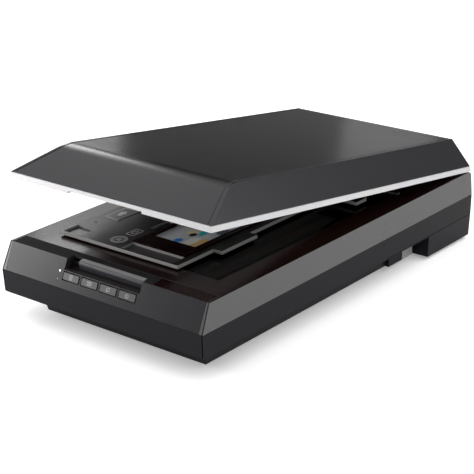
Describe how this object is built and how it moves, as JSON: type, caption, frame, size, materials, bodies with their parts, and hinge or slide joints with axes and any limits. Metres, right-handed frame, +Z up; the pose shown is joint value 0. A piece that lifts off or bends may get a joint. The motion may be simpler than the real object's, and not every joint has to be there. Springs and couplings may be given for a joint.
{
  "type": "flatbed photo scanner",
  "caption": "Low rectangular desktop scanner with a bevelled hinged lid standing ajar over a glass platen, a sliding scan unit and a film holder on the glass.",
  "frame": {"origin": "on the surface the feet stand on, under the middle of the base", "axes": "+X to the operator's right, -Y towards the operator (the buttons are on the -Y face), +Z up"},
  "size_m": [0.28, 0.482, 0.1767],
  "materials": {
    "tray_plastic": "dark charcoal moulding, fine texture",
    "cover_plastic": "charcoal grey satin moulding",
    "panel_plastic": "charcoal grey satin moulding",
    "button_plastic": "mid grey satin key",
    "grip_plastic": "mid grey satin moulding",
    "lock_plastic": "light grey moulding",
    "inner_black": "matt black moulding",
    "gloss_trim": "polished near-black moulding",
    "holder_plastic": "fine matt black moulding",
    "lid_plastic": "charcoal moulding with fine leather-like texture",
    "rim_plastic": "milky white, slightly translucent moulding",
    "platen_glass": "polished float glass",
    "clear_lens": "clear moulded light pipe",
    "lamp_diffuser": "milky light diffuser",
    "mirror": "front-silvered mirror",
    "steel": "plain ground steel",
    "brass": "turned brass",
    "nylon": "natural nylon",
    "post_plastic": "dark moulding",
    "rubber": "matt black rubber",
    "circuit_board": "green solder resist",
    "socket_plastic": "black moulding",
    "ribbon": "white flat ribbon",
    "film": "developed colour film with a soft abstract picture"
  },
  "bodies": {
    "base": {"base_tray": "tray_plastic", "upper_cover": "cover_plastic", "platen_glass": "platen_glass", "front_panel": "panel_plastic", "gloss_insert": "gloss_trim", "grip_recess": "inner_black", "grip_bar": "grip_plastic", "indicator_lens": "clear_lens", "panel_board": "circuit_board", "foot_front_left": "rubber", "foot_front_right": "rubber", "foot_rear_left": "rubber", "foot_rear_right": "rubber", "main_board": "circuit_board", "dc_inlet": "socket_plastic", "usb_port": "socket_plastic", "option_port": "socket_plastic", "flat_cable": "ribbon", "guide_rod": "steel", "rod_support_front": "inner_black", "rod_support_rear": "inner_black", "slide_rail": "steel", "drive_belt": "rubber", "motor": "steel", "motor_bracket": "steel", "idler_bracket": "inner_black", "belt_spring": "steel", "hinge_socket_left": "inner_black", "hinge_socket_right": "inner_black"},
    "hinge_posts": {"hinge_post_left": "post_plastic", "hinge_post_right": "post_plastic"},
    "lid": {"hinge_arm_left": "steel", "hinge_arm_right": "steel", "lid_side_left": "lid_plastic", "lid_side_right": "lid_plastic", "lid_cover": "lid_plastic", "lid_rim": "rim_plastic", "lid_inner_panel": "inner_black", "lamp_window": "lamp_diffuser", "backlight": "lamp_diffuser"},
    "carriage": {"carriage_housing": "inner_black", "scan_lamp": "lamp_diffuser", "upper_mirror": "mirror", "lower_mirror": "mirror", "lens_barrel": "inner_black", "sensor_board": "circuit_board", "rod_bush": "nylon", "belt_clamp": "inner_black"},
    "drive_gear": {"drive_gear": "nylon"},
    "motor_pinion": {"motor_pinion": "brass"},
    "idler_pulley": {"idler_pulley": "nylon"},
    "film_holder": {"film_holder": "holder_plastic", "film_holder_cover": "gloss_trim", "film_strip": "film"},
    "transport_lock": {"transport_lock": "lock_plastic"},
    "button_1": {"button_1": "button_plastic"},
    "button_2": {"button_2": "button_plastic"},
    "button_3": {"button_3": "button_plastic"},
    "button_4": {"button_4": "button_plastic"}
  },
  "joints": [
    {"name": "button_1_press", "type": "slide", "parent": "base", "child": "button_1", "axis": [0, 0.9044, -0.4267], "range_m": [0, 0.0008], "stiffness_N_per_m": 900, "springref_m": -0.0004},
    {"name": "button_2_press", "type": "slide", "parent": "base", "child": "button_2", "axis": [0, 0.9044, -0.4267], "range_m": [0, 0.0008], "stiffness_N_per_m": 900, "springref_m": -0.0004},
    {"name": "button_3_press", "type": "slide", "parent": "base", "child": "button_3", "axis": [0, 0.9044, -0.4267], "range_m": [0, 0.0008], "stiffness_N_per_m": 900, "springref_m": -0.0004},
    {"name": "button_4_press", "type": "slide", "parent": "base", "child": "button_4", "axis": [0, 0.9044, -0.4267], "range_m": [0, 0.0008], "stiffness_N_per_m": 900, "springref_m": -0.0004},
    {"name": "lid_lift", "type": "slide", "parent": "base", "child": "hinge_posts", "axis": [0, 0, 1], "range_m": [0, 0.02]},
    {"name": "lid_hinge", "type": "hinge", "parent": "hinge_posts", "child": "lid", "pos_m": [0, 0.23505, 0.07675], "axis": [-1, 0, 0], "range_deg": [-8.5, 71.5]},
    {"name": "carriage_travel", "type": "slide", "parent": "base", "child": "carriage", "axis": [0, -1, 0], "range_m": [0, 0.32]},
    {"name": "drive_gear_spin", "type": "hinge", "parent": "base", "child": "drive_gear", "pos_m": [-0.056, 0.214, 0.0349], "axis": [0, 0, 1], "range_deg": [-2450, 0]},
    {"name": "motor_pinion_spin", "type": "hinge", "parent": "base", "child": "motor_pinion", "pos_m": [-0.0384, 0.214, 0.0349], "axis": [0, 0, 1], "range_deg": [0, 9800]},
    {"name": "idler_pulley_spin", "type": "hinge", "parent": "base", "child": "idler_pulley", "pos_m": [-0.056, -0.2, 0.0395], "axis": [0, 0, 1], "range_deg": [-2450, 0]},
    {"name": "film_holder_lift_out", "type": "slide", "parent": "base", "child": "film_holder", "axis": [0, -0.989, 0.1478], "range_m": [0, 0.35]},
    {"name": "transport_lock_slide", "type": "slide", "parent": "base", "child": "transport_lock", "axis": [0, 1, 0], "range_m": [0, 0.006]}
  ],
  "couplings": [
    {"joint": "drive_gear_spin", "follows": "carriage_travel", "rad_per_m": -133.33},
    {"joint": "motor_pinion_spin", "follows": "carriage_travel", "rad_per_m": 533.33},
    {"joint": "idler_pulley_spin", "follows": "carriage_travel", "rad_per_m": -133.33}
  ]
}
